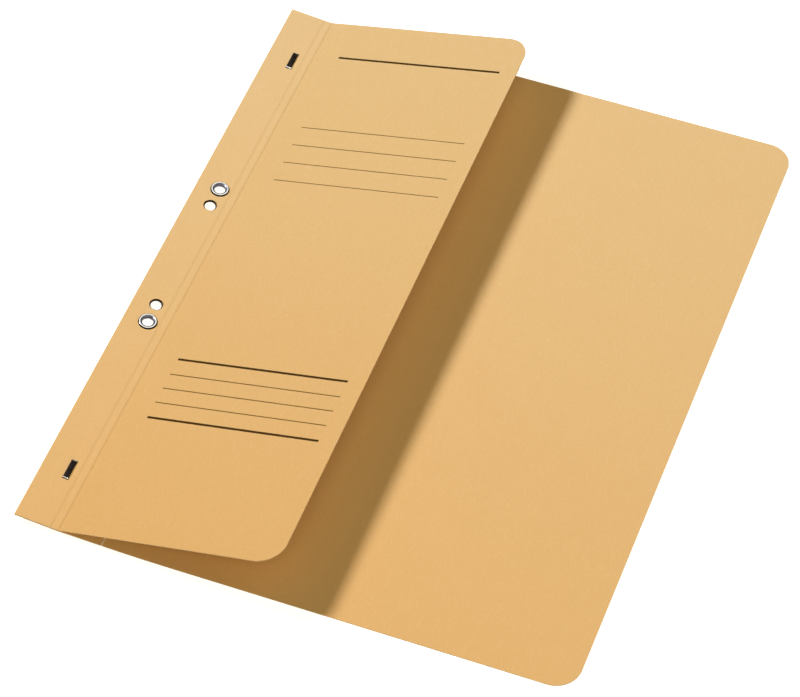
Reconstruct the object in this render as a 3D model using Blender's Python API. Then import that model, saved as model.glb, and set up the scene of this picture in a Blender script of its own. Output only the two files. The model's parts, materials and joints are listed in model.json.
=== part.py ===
"""Half-cover card folder with an eyeleted binding strip and a tin prong fastener.

Two sheets of manila card are eyeleted and wire-stitched together along the bound edge. The back
sheet is a full page with two score lines. The front sheet is half a page with a double score, which
works as the hinge of the front cover. A prong fastener on the back margin holds the punched sheets.

Metres, +Z up. The origin is the middle of the back cover's underside, +X runs from the bound edge to
the free edge, and +Y runs up the page.
"""

import math

import bmesh
import bpy
from mathutils import Matrix, Vector

MM = 0.001

# Sheets
SHEET_HEIGHT = 305.0 * MM
BACK_WIDTH = 238.0 * MM
COVER_EDGE = 117.5 * MM
CARD = 0.4 * MM
CORNER_RADIUS = 11.0 * MM
LAYER_GAP = 0.3 * MM

# Score lines, each measured across the flat sheet from the bound edge
FIRST_SCORE = 15.8 * MM
SECOND_SCORE = 19.3 * MM
BACK_SCORE = 38.0 * MM
SCORE_INSET = 0.35 * MM

# How the folder lies on a table, angles in degrees above level
MARGIN_ANGLE = 2.8
STRIP_ANGLE = 6.4
COVER_ANGLE = 13.45
CURL_RISE = 0.78 * MM
CURL_FACETS = 6

# Eyelets
EYELET_SPACING = 80.0 * MM
EYELET_INSET = 10.6 * MM
EYELET_BORE = 5.9 * MM
EYELET_WALL = 0.25 * MM
FLANGE_DIAMETER = 8.3 * MM
FLANGE_RISE = 0.55 * MM
CLINCH_DIAMETER = 8.1 * MM
CLINCH_RISE = 0.45 * MM
ROUND_STEPS = 32
FIT = 0.3 * MM

# Plain punched holes
HOLE_SPACING = 60.0 * MM
HOLE_INSET = 10.25 * MM
HOLE_DIAMETER = 6.0 * MM

# Flat wire stitches
STITCH_FROM_END = 29.25 * MM
STITCH_INSET = 11.6 * MM
STITCH_CROWN = 10.0 * MM
WIRE_WIDTH = 2.6 * MM
WIRE_THICKNESS = 0.5 * MM
STITCH_CLINCH = 3.4 * MM
WIRE_BEND = 0.35 * MM

# Prong fastener
FASTENER_INSET = 32.5 * MM
PRONG_SPACING = 80.0 * MM
PRONG_WIDTH = 4.5 * MM
PRONG_LENGTH = 26.0 * MM
TIN = 0.25 * MM
TIN_BEND = 0.4 * MM
TIN_GAP = 0.25 * MM
BASE_WIDTH = 8.0 * MM
SHOULDER = 1.2 * MM
BAR_WIDTH = 7.0 * MM
BAR_OVERHANG = 13.0 * MM
SLIDER_LENGTH = 10.0 * MM
SLIDER_HOLD = 6.0 * MM
SLIDER_LIP = 1.9 * MM

# Colours, as linear values of the finish
MANILA = (0.791, 0.497, 0.209)
NICKEL = (0.62, 0.60, 0.56)
STEEL = (0.10, 0.10, 0.10)
TINPLATE = (0.55, 0.55, 0.53)

# The stitches' middle, above and below the middle of the page
STITCH_REACH = SHEET_HEIGHT / 2 - STITCH_FROM_END

# Levels in the strip, above the middle of its back layer
LAYER_PITCH = CARD + LAYER_GAP
STRIP_FLOOR = -CARD / 2
STRIP_TOP = LAYER_PITCH + CARD / 2

# Levels on the margin, above the middle of its card
BASE_LEVEL = -CARD / 2 - LAYER_GAP - TIN / 2
LIP_LEVEL = CARD / 2 + TIN_GAP + TIN / 2
BAR_LEVEL = LIP_LEVEL + TIN + TIN_GAP
PRONG_LEVEL = BAR_LEVEL + TIN + TIN_GAP
ROOF_LEVEL = PRONG_LEVEL + TIN + TIN_GAP


def clear_scene():
    """Remove every object, so the model starts from an empty scene."""
    for old in list(bpy.data.objects):
        bpy.data.objects.remove(old, do_unlink=True)


def finish(name, colour, roughness, metallic):
    """Return a Principled material."""
    material = bpy.data.materials.new(name)
    material.use_nodes = True
    shader = material.node_tree.nodes["Principled BSDF"]
    shader.inputs["Base Color"].default_value = (*colour, 1.0)
    shader.inputs["Roughness"].default_value = roughness
    shader.inputs["Metallic"].default_value = metallic
    return material


def empty(name, parent=None, location=(0, 0, 0), turn=0.0):
    """Return an empty that carries pieces, turned by turn degrees about Y."""
    holder = bpy.data.objects.new(name, None)
    holder.empty_display_size = SECOND_SCORE
    bpy.context.collection.objects.link(holder)
    holder.parent = parent
    holder.location = location
    holder.rotation_euler = (0.0, math.radians(turn), 0.0)
    return holder


def place(name, mesh_data, parent, material=None, location=(0, 0, 0), smooth=False):
    """Turn a bmesh into a named object under its parent."""
    bmesh.ops.recalc_face_normals(mesh_data, faces=mesh_data.faces)
    mesh = bpy.data.meshes.new(name)
    mesh_data.to_mesh(mesh)
    mesh_data.free()
    if smooth:
        mesh.shade_smooth()
        mesh.set_sharp_from_angle(angle=math.radians(35))
    piece = bpy.data.objects.new(name, mesh)
    bpy.context.collection.objects.link(piece)
    piece.parent = parent
    piece.location = location
    if material:
        mesh.materials.append(material)
    return piece


def arc(centre, radius, start, end, steps):
    """Return the points of an arc, angles in degrees."""
    turns = [math.radians(start + (end - start) * i / steps) for i in range(steps + 1)]
    return [(centre[0] + radius * math.cos(t), centre[1] + radius * math.sin(t)) for t in turns]


def sheet_outline(left, right, height, radius):
    """Return a page outline with square corners on the left and round ones on the right."""
    half = height / 2
    if radius <= 0:
        return [(left, -half), (right, -half), (right, half), (left, half)]
    lower = arc((right - radius, radius - half), radius, -90, 0, 8)
    upper = arc((right - radius, half - radius), radius, 0, 90, 8)
    return [(left, -half), *lower, *upper, (left, half)]


def stadium(width, length, steps=8):
    """Return an outline with half-round ends along Y."""
    radius = width / 2
    straight = length / 2 - radius
    return arc((0, straight), radius, 0, 180, steps) + arc((0, -straight), radius, 180, 360, steps)


def plate(outline, low, high):
    """Return a bmesh plate with this outline between two levels."""
    solid = bmesh.new()
    base = solid.faces.new([solid.verts.new((x, y, low)) for x, y in outline])
    grown = bmesh.ops.extrude_face_region(solid, geom=[base])["geom"]
    lifted = [v for v in grown if isinstance(v, bmesh.types.BMVert)]
    bmesh.ops.translate(solid, verts=lifted, vec=(0, 0, high - low))
    return solid


def rounded_path(corners, radius, steps=4):
    """Return a path through the corners, with each inner corner rounded to the radius."""
    points = [Vector(corners[0])]
    for before, here, after in zip(corners, corners[1:], corners[2:]):
        here = Vector(here)
        back, on = (Vector(before) - here).normalized(), (Vector(after) - here).normalized()
        half = back.angle(on) / 2
        run = radius / math.tan(half)
        centre = here + (back + on).normalized() * (radius / math.sin(half))
        first, last = here + back * run - centre, here + on * run - centre
        sweep = first.angle_signed(last)
        for i in range(steps + 1):
            turned = first.copy()
            turned.rotate(Matrix.Rotation(-sweep * i / steps, 2))
            points.append(centre + turned)
    points.append(Vector(corners[-1]))
    return points


def ribbon(path, widths, thickness, across):
    """Return a bmesh strip of sheet metal that follows a path.

    widths holds the strip's width at each point of the path, and across is the axis, X or Y, that
    the width runs along. The path lies in the plane of the other axis and Z.
    """
    solid = bmesh.new()
    rings = []
    for i, point in enumerate(path):
        before = (point - path[i - 1]).normalized() if i else None
        after = (path[i + 1] - point).normalized() if i + 1 < len(path) else None
        along = (before or after) + (after or before)
        along.normalize()
        reach = thickness / 2 / (along.dot(after or before) or 1.0)
        normal = Vector((-along.y, along.x)) * reach
        half = widths[i] / 2
        ring = []
        for side, face in ((-half, -1), (half, -1), (half, 1), (-half, 1)):
            spot = point + normal * face
            ring.append(solid.verts.new((side, spot.x, spot.y) if across == "X" else (spot.x, side, spot.y)))
        rings.append(ring)
    for ring, after in zip(rings, rings[1:]):
        for k in range(4):
            solid.faces.new((ring[k], ring[(k + 1) % 4], after[(k + 1) % 4], after[k]))
    solid.faces.new(rings[0])
    solid.faces.new(list(reversed(rings[-1])))
    return solid


def turned(profile, steps):
    """Return a bmesh ring: a closed profile of radius and level, spun about Z."""
    solid = bmesh.new()
    corners = [solid.verts.new((r, 0, z)) for r, z in profile]
    edges = [solid.edges.new((a, b)) for a, b in zip(corners, corners[1:] + corners[:1])]
    bmesh.ops.spin(solid, geom=corners + edges, cent=(0, 0, 0), axis=(0, 0, 1), angle=math.tau,
                   steps=steps, use_merge=True, use_duplicate=False)
    bmesh.ops.remove_doubles(solid, verts=solid.verts, dist=0.0005 * MM)
    return solid


def cutter(name, shapes, parent):
    """Return a hidden cutter made of several closed shapes."""
    whole = bmesh.new()
    for shape in shapes:
        bmesh.ops.recalc_face_normals(shape, faces=shape.faces)
        part = bpy.data.meshes.new(name)
        shape.to_mesh(part)
        shape.free()
        whole.from_mesh(part)
    tool = place(name, whole, parent)
    tool.hide_render = True
    tool.display_type = "WIRE"
    return tool


def cut(piece, tool):
    """Take the cutter's shapes out of a piece."""
    modifier = piece.modifiers.new("punched", "BOOLEAN")
    modifier.operation = "DIFFERENCE"
    modifier.object = tool


def disc(centre, diameter, low, high):
    """Return a round punch."""
    return plate(arc(centre, diameter / 2, 0, 360 - 360 / ROUND_STEPS, ROUND_STEPS - 1), low, high)


def block(centre, width, length, low, high):
    """Return a rectangular punch."""
    x, y = centre
    w, h = width / 2, length / 2
    return plate([(x - w, y - h), (x + w, y - h), (x + w, y + h), (x - w, y + h)], low, high)


def curled_back(folder, card):
    """The back cover: a page with round outer corners that curls up a little to its score line."""
    shift = BACK_WIDTH / 2
    solid = plate(sheet_outline(BACK_SCORE + SCORE_INSET - shift, BACK_WIDTH - shift, SHEET_HEIGHT,
                                CORNER_RADIUS), 0.0, CARD)
    run = 2 * CURL_RISE / math.tan(math.radians(MARGIN_ANGLE))
    start = BACK_SCORE + run - shift
    for i in range(CURL_FACETS):
        everything = solid.verts[:] + solid.edges[:] + solid.faces[:]
        bmesh.ops.bisect_plane(solid, geom=everything, dist=1e-7, plane_no=(1, 0, 0),
                               plane_co=(start - run * i / CURL_FACETS, 0, 0))
    for vertex in solid.verts:
        lift = max(0.0, (start - vertex.co.x) / run)
        vertex.co.z += CURL_RISE * lift * lift
    return place("back_cover", solid, folder, card)


def panel(name, left, right, parent, card, radius=0.0):
    """A flat part of a card sheet, centred on its score line's level."""
    outline = sheet_outline(left, right, SHEET_HEIGHT, radius)
    return place(name, plate(outline, -CARD / 2, CARD / 2), parent, card)


def strip_punch(strip):
    """The punch through both layers of the strip: eyelets, plain holes and stitch legs."""
    low, high = STRIP_FLOOR - CARD, STRIP_TOP + CARD
    barrel = EYELET_BORE + 2 * EYELET_WALL + 2 * FIT
    leg = STITCH_CROWN / 2 - WIRE_THICKNESS / 2
    shapes = []
    for way in (1, -1):
        shapes.append(disc((EYELET_INSET - SECOND_SCORE, way * EYELET_SPACING / 2), barrel, low, high))
        shapes.append(disc((HOLE_INSET - SECOND_SCORE, way * HOLE_SPACING / 2), HOLE_DIAMETER, low, high))
        for end in (leg, -leg):
            spot = (STITCH_INSET - SECOND_SCORE, way * STITCH_REACH + end)
            shapes.append(block(spot, WIRE_WIDTH + 2 * FIT, WIRE_THICKNESS + 2 * FIT, low, high))
    return cutter("strip_punch", shapes, strip)


def eyelet_profile():
    """The eyelet's section: a barrel with a domed flange in front and a flat clinch behind."""
    bore = EYELET_BORE / 2
    barrel = bore + EYELET_WALL
    seat, foot = STRIP_TOP + LAYER_GAP, STRIP_FLOOR - LAYER_GAP
    rim, hem = FLANGE_DIAMETER / 2, CLINCH_DIAMETER / 2
    dome = (rim - bore) / 2
    roll = (hem - bore) / 2
    front = [(bore + dome - dome * math.cos(t), seat + FLANGE_RISE * math.sin(t))
             for t in (math.pi * i / 8 for i in range(1, 8))]
    rear = [(bore + roll + roll * math.cos(t), foot - CLINCH_RISE * math.sin(t))
            for t in (math.pi * i / 6 for i in range(1, 6))]
    return [(bore, foot), (bore, seat), *front, (rim, seat), (barrel, seat), (barrel, foot), (hem, foot), *rear]


def stitch_solid():
    """One flat wire stitch: crown in front, legs through the card, ends clinched inwards behind."""
    crown = STRIP_TOP + LAYER_GAP + WIRE_THICKNESS / 2
    foot = STRIP_FLOOR - LAYER_GAP - WIRE_THICKNESS / 2
    leg = STITCH_CROWN / 2 - WIRE_THICKNESS / 2
    end = leg - STITCH_CLINCH
    path = rounded_path([(-end, foot), (-leg, foot), (-leg, crown), (leg, crown), (leg, foot), (end, foot)],
                        WIRE_BEND)
    return ribbon(path, [WIRE_WIDTH] * len(path), WIRE_THICKNESS, "X")


def base_solid():
    """The tin strip under the margin, with its ends bent up and over the bar as the two prongs."""
    half = PRONG_SPACING / 2
    tip = half - PRONG_LENGTH
    nose = PRONG_WIDTH / 2
    bends = rounded_path([(tip, PRONG_LEVEL), (half, PRONG_LEVEL), (half, BASE_LEVEL), (0, BASE_LEVEL)], TIN_BEND)
    path, widths = [], []
    for i in range(6):
        turn = math.radians(80 - 80 * i / 5)
        path.append(Vector((tip + nose - nose * math.sin(turn), PRONG_LEVEL)))
        widths.append(PRONG_WIDTH * math.cos(turn))
    for point in bends[1:-1]:
        path.append(point)
        widths.append(PRONG_WIDTH)
    shoulder = half - TIN_BEND - SHOULDER
    path += [Vector((shoulder, BASE_LEVEL)), Vector((shoulder - SHOULDER, BASE_LEVEL))]
    widths += [PRONG_WIDTH, BASE_WIDTH]
    mirrored = [Vector((-p.x, p.y)) for p in reversed(path)]
    return ribbon(path + mirrored, widths + widths[::-1], TIN, "X")


def bar_solid():
    """The slotted cover bar, with half-round ends."""
    length = PRONG_SPACING + 2 * BAR_OVERHANG
    return plate(stadium(BAR_WIDTH, length), BAR_LEVEL - TIN / 2, BAR_LEVEL + TIN / 2)


def slider_solid():
    """A sleeve bent round the bar and the prong, open along its underside."""
    wall = BAR_WIDTH / 2 + TIN_GAP + TIN / 2
    lip = wall - SLIDER_LIP
    path = rounded_path([(-lip, LIP_LEVEL), (-wall, LIP_LEVEL), (-wall, ROOF_LEVEL), (wall, ROOF_LEVEL),
                         (wall, LIP_LEVEL), (lip, LIP_LEVEL)], TIN)
    return ribbon(path, [SLIDER_LENGTH] * len(path), TIN, "Y")


def build():
    """Build the folder as it lies open on a table."""
    clear_scene()
    card = finish("manila_card", MANILA, 0.85, 0.0)
    nickel = finish("nickel_plate", NICKEL, 0.25, 1.0)
    steel = finish("steel_wire", STEEL, 0.35, 1.0)
    tin = finish("tinplate", TINPLATE, 0.35, 1.0)

    folder = empty("folder")
    margin_width = BACK_SCORE - SECOND_SCORE
    band_width = SECOND_SCORE - FIRST_SCORE
    margin = empty("back_hinge", folder, (BACK_SCORE - BACK_WIDTH / 2, 0, CARD / 2 + CURL_RISE), MARGIN_ANGLE)
    strip = empty("spine_hinge", margin, (-margin_width, 0, 0), STRIP_ANGLE - MARGIN_ANGLE)
    band = empty("band_hinge", strip, (-band_width, 0, LAYER_PITCH))
    cover = empty("cover_hinge", band, (band_width, 0, 0), -COVER_ANGLE - STRIP_ANGLE)

    # Card
    curled_back(folder, card)
    back_margin = panel("back_margin", SCORE_INSET - margin_width, -SCORE_INSET, margin, card)
    strip_back = panel("strip_back", -SECOND_SCORE, -SCORE_INSET, strip, card)
    front_layer = empty("front_layer", strip, (0, 0, LAYER_PITCH))
    strip_front = panel("strip_front", -SECOND_SCORE, -band_width - SCORE_INSET, front_layer, card)
    panel("front_band", SCORE_INSET, band_width - SCORE_INSET, band, card)
    panel("front_cover", SCORE_INSET, COVER_EDGE - SECOND_SCORE, cover, card, CORNER_RADIUS)
    punch = strip_punch(strip)
    cut(strip_back, punch)
    cut(strip_front, punch)

    # Eyelets and stitches
    for name, way in (("upper", 1), ("lower", -1)):
        place(f"eyelet_{name}", turned(eyelet_profile(), ROUND_STEPS), strip, nickel,
              (EYELET_INSET - SECOND_SCORE, way * EYELET_SPACING / 2, 0), smooth=True)
        place(f"stitch_{name}", stitch_solid(), strip, steel,
              (STITCH_INSET - SECOND_SCORE, way * STITCH_REACH, 0))

    # Prong fastener on the margin
    fastener = empty("fastener", margin, (FASTENER_INSET - BACK_SCORE, 0, 0))
    place("fastener_base", base_solid(), fastener, tin)
    bar = place("cover_bar", bar_solid(), fastener, tin)
    slots = [block((0, way * PRONG_SPACING / 2), PRONG_WIDTH + 2 * FIT, TIN + 2 * FIT,
                   -CARD, PRONG_LEVEL) for way in (1, -1)]
    slot_punch = cutter("slot_punch", slots, fastener)
    cut(back_margin, slot_punch)
    cut(bar, slot_punch)
    centre = PRONG_SPACING / 2 - PRONG_LENGTH + SLIDER_HOLD - SLIDER_LENGTH / 2
    for name, way in (("upper", 1), ("lower", -1)):
        run = empty(f"slide_{name}", fastener, (0, way * centre, 0))
        place(f"slider_{name}", slider_solid(), run, tin)


build()
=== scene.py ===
"""Looks of the half-cover card folder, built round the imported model.

Sizes are in millimetres and angles in degrees unless a name says otherwise. A piece is modelled in
millimetres in the row frame and scaled to metres when it is handed over.
"""

import json
import logging
import math
from abc import ABC, abstractmethod
from collections.abc import Callable, Sequence
from dataclasses import dataclass, field
from enum import Enum

import bmesh
import bpy
from mathutils import Matrix, Vector


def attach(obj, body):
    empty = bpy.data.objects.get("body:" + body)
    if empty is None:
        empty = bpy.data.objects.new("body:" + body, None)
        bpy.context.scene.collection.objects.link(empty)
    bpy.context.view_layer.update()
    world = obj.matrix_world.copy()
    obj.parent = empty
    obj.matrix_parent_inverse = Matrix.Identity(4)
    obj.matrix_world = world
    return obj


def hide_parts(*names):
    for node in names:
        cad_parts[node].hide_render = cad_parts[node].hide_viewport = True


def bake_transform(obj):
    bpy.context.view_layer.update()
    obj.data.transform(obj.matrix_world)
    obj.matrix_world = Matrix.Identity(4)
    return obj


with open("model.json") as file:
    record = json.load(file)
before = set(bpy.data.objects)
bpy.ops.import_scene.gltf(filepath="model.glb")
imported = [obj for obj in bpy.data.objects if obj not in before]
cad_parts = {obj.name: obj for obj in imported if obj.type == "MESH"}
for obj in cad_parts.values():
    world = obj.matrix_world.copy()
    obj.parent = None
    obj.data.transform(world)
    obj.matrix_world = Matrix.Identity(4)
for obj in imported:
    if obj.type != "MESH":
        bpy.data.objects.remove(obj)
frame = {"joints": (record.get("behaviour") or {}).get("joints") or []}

LOG = logging.getLogger("folder")
METRES = 0.001
# The attribute that holds each vertex's place on the flat sheet
PLACE = "card_place"
# The sockets of a Mix node that mixes colours
SHARE, UNDER, OVER, MIXED = 0, 6, 7, 2
WHITE = (1.0, 1.0, 1.0, 1.0)
# The facets of a rounded edge, and how sharp an edge has to be to get them
EDGE_STEPS = 3
EDGE_ANGLE = math.radians(50)
Point = tuple[float, float]
Triple = tuple[float, float, float]
Piece = bpy.types.Object
Span = Callable[[float], tuple[Vector, Vector]]


class Body(Enum):
    """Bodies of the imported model."""

    BACK = "back"
    MARGIN = "margin"
    STRIP = "strip"
    BAND = "band"
    COVER = "cover"
    SLIDER_UPPER = "slider_upper"
    SLIDER_LOWER = "slider_lower"


class End(Enum):
    """The two ends of the folder, with the direction of each along the page."""

    UPPER = 1
    LOWER = -1

    @property
    def label(self) -> str:
        """The name of this end, as the nodes have it."""
        return self.name.lower()


class Element(Enum):
    """What is selected in edit mode."""

    VERTEX = "VERT"
    EDGE = "EDGE"
    FACE = "FACE"


class Run(Enum):
    """Which way the line of a bent strip runs."""

    ACROSS_PAGE = "across"
    UP_PAGE = "up"


class LampKind(Enum):
    """Kinds of lamp, with Blender's name for each."""

    DISTANT = "SUN"
    NEAR = "POINT"
    NEAR_CONE = "SPOT"


@dataclass(frozen=True)
class FolderSizes:
    """Sizes that more than one sub-assembly uses."""

    height: float = 305.0  # of both sheets
    card: float = 0.4  # the card's thickness
    corner: float = 11.0  # radius of the free corners
    spine_score: float = 19.3  # the front sheet's inner score and the back sheet's spine score, from the bound edge
    back_score: float = 38.0  # between the margin and the back cover
    strip_tilt: float = 6.4  # slope of the bound strip, down to the right
    margin_tilt: float = 2.8
    cover_tilt: float = -13.45  # rises to the right
    eyelet: Point = (10.6, 40.0)  # distance from the bound edge and from mid-height
    stitch: Point = (11.6, 123.25)
    leg_reach: float = 4.75  # from a stitch's middle to its leg
    prong: Point = (32.5, 40.0)


FOLDER = FolderSizes()


# Shared tools

def linear(code: str) -> tuple[float, float, float, float]:
    """Turn an sRGB hex colour into linear RGBA.

    Args:
        code: six hex digits after a hash sign.

    Returns:
        Linear red, green, blue and an alpha of 1.
    """
    parts = [int(code[i:i + 2], 16) / 255 for i in (1, 3, 5)]
    red, green, blue = (c / 12.92 if c <= 0.04045 else ((c + 0.055) / 1.055) ** 2.4 for c in parts)
    return red, green, blue, 1.0


def add_node(tree: bpy.types.NodeTree, kind: str, inputs: dict | Sequence = (), output: int | str = 0,
             **settings: object) -> bpy.types.NodeSocket | None:
    """Add a shader node with its settings and links.

    Args:
        tree: the node tree that takes it.
        kind: the node's type name, after ShaderNode.
        inputs: sockets to link from or constants, by input name or number, or for the first inputs in order.
        output: the name or number of the output that is wanted.
        settings: properties of the node itself.

    Returns:
        The socket of that output, or none where the node has no outputs.
    """
    node = tree.nodes.new(f"ShaderNode{kind}")
    for name, value in settings.items():
        setattr(node, name, value)
    for key, value in inputs.items() if isinstance(inputs, dict) else enumerate(inputs):
        if isinstance(value, bpy.types.NodeSocket):
            tree.links.new(value, node.inputs[key])
        else:
            node.inputs[key].default_value = value
    return node.outputs[output] if node.outputs else None


def new_material(name: str) -> tuple[bpy.types.Material, bpy.types.NodeTree]:
    """Make a material that has no nodes yet.

    Args:
        name: the finish's name.

    Returns:
        The material and its node tree.
    """
    material = bpy.data.materials.new(name)
    material.use_nodes = True
    material.node_tree.nodes.clear()
    return material, material.node_tree


def clear_selection() -> None:
    """Go to object mode with nothing selected."""
    if bpy.context.mode != "OBJECT":
        bpy.ops.object.mode_set(mode="OBJECT")
    bpy.ops.object.select_all(action="DESELECT")


def activate(piece: Piece) -> None:
    """Make a piece the only selected object and the active one.

    Args:
        piece: the object.
    """
    clear_selection()
    piece.select_set(True)
    bpy.context.view_layer.objects.active = piece


def named(name: str, size: Sequence[float] = (1, 1, 1)) -> Piece:
    """Name the primitive that was just added, and apply its size and place.

    Args:
        name: the name of the object and its mesh.
        size: how far the primitive is stretched along the three axes.

    Returns:
        The primitive's object.
    """
    piece = bpy.context.active_object
    piece.name = piece.data.name = name
    piece.scale = size
    bpy.ops.object.transform_apply(location=True, rotation=True, scale=True)
    return piece


def edit(piece: Piece, kind: Element, chosen: Callable[[object], bool] | None = None) -> None:
    """Open a piece in edit mode with all or part of it selected.

    Args:
        piece: the mesh object.
        kind: what is selected.
        chosen: says of a bmesh vertex, edge or face whether it is selected, or none to select all.
    """
    activate(piece)
    bpy.ops.object.mode_set(mode="EDIT")
    bpy.ops.mesh.select_mode(type=kind.value)
    bpy.ops.mesh.select_all(action="DESELECT" if chosen else "SELECT")
    if chosen:
        mesh = bmesh.from_edit_mesh(piece.data)
        parts = {Element.VERTEX: mesh.verts, Element.EDGE: mesh.edges, Element.FACE: mesh.faces}
        for element in filter(chosen, parts[kind]):
            element.select_set(True)
        mesh.select_flush_mode()
        bmesh.update_edit_mesh(piece.data)


def modify(piece: Piece, kind: str, **settings: object) -> None:
    """Add a modifier with its settings and apply it.

    Args:
        piece: the mesh object.
        kind: the modifier's type.
        settings: the modifier's properties.
    """
    activate(piece)
    modifier = piece.modifiers.new(kind.lower(), kind)
    for name, value in settings.items():
        setattr(modifier, name, value)
    bpy.ops.object.modifier_apply(modifier=modifier.name)


def punch(piece: Piece, tools: Sequence[Piece]) -> None:
    """Cut each tool out of a piece, delete the tool, and divide the faces that have holes.

    Args:
        piece: the mesh object.
        tools: the punches.
    """
    for tool in tools:
        modify(piece, "BOOLEAN", operation="DIFFERENCE", solver="EXACT", object=tool)
        bpy.data.objects.remove(tool)
    modify(piece, "TRIANGULATE", ngon_method="BEAUTY", min_vertices=5)


def tidy_mesh(piece: Piece, gap: float) -> None:
    """Merge doubles and point the faces outwards.

    Args:
        piece: the mesh object.
        gap: the distance below which vertices merge.
    """
    edit(piece, Element.VERTEX)
    bpy.ops.mesh.remove_doubles(threshold=gap)
    bpy.ops.mesh.select_all(action="SELECT")
    bpy.ops.mesh.normals_make_consistent(inside=False)
    bpy.ops.object.mode_set(mode="OBJECT")


def round_edges(piece: Piece, width: float) -> None:
    """Round the sharp edges of a piece."""
    modify(piece, "BEVEL", width=width, segments=EDGE_STEPS, limit_method="ANGLE", angle_limit=EDGE_ANGLE)


def smooth(piece: Piece, degrees: float) -> None:
    """Shade a piece smooth wherever two faces meet at less than an angle."""
    activate(piece)
    bpy.ops.object.shade_smooth_by_angle(angle=math.radians(degrees))


def both_ends(first: Piece) -> dict[End, Piece]:
    """Copy the piece of the upper end, mesh and all, for the lower end.

    Args:
        first: the upper piece, whose name says so.

    Returns:
        Both pieces by their end.
    """
    second = first.copy()
    second.data = first.data.copy()
    second.name = second.data.name = first.name.replace(End.UPPER.label, End.LOWER.label)
    bpy.context.scene.collection.objects.link(second)
    return {End.UPPER: first, End.LOWER: second}


def hand_over(piece: Piece, nodes: Sequence[str], place: Matrix | None = None) -> None:
    """Put a finished piece in the row frame, in metres, and hide the nodes that it stands for.

    Args:
        piece: the mesh object, in millimetres.
        nodes: the nodes that the piece replaces.
        place: the frame in which the piece was modelled, in millimetres.
    """
    clear_selection()
    piece.data.transform(Matrix.Scale(METRES, 4) @ (place or Matrix.Identity(4)))
    piece.data.update()
    if nodes:
        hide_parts(*nodes)


def set_piece(piece: Piece, node: str, body: Body, place: Matrix) -> None:
    """Put a piece in the place of one node, riding on a body.

    Args:
        piece: the mesh object, in millimetres.
        node: the node that it replaces.
        body: the body that carries it.
        place: the frame in which the piece was modelled.
    """
    hand_over(piece, [node], place)
    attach(piece, body.value)
    LOG.info("set %s", piece.name)


def set_in_strip(first: Piece, kind: str, spot: Point) -> None:
    """Copy the piece of the upper end and set both pieces in the bound strip.

    Args:
        first: the upper piece, in its own frame.
        kind: how the nodes' names start.
        spot: the pieces' distance from the bound edge and from mid-height.
    """
    strip = tilted(joint_point("spine_fold"), FOLDER.strip_tilt)
    for end, piece in both_ends(first).items():
        place = Matrix.Translation((spot[0] - FOLDER.spine_score, end.value * spot[1], 0))
        set_piece(piece, f"{kind}_{end.label}", Body.STRIP, strip @ place)


def joint_point(name: str) -> Vector:
    """Where a joint's axis stands in the row frame, in millimetres."""
    joint = next(joint for joint in frame["joints"] if joint["name"] == name)
    return Vector(joint["pos_m"]) / METRES


def tilted(point: Vector, degrees: float) -> Matrix:
    """The frame at a point, tilted about the page's height so that a positive angle lifts its left side."""
    return Matrix.Translation(point) @ Matrix.Rotation(math.radians(degrees), 4, "Y")


# Finishes

@dataclass(frozen=True)
class Crease:
    """A score line pressed into a card sheet."""

    at: float  # distance from the bound edge
    rise: float  # how far the card stands proud along it, negative for a groove
    half_width: float
    colour: str  # painted along it: darker as shade in a groove, paler as a highlight on a bead
    share: float  # how much of that colour shows


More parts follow.
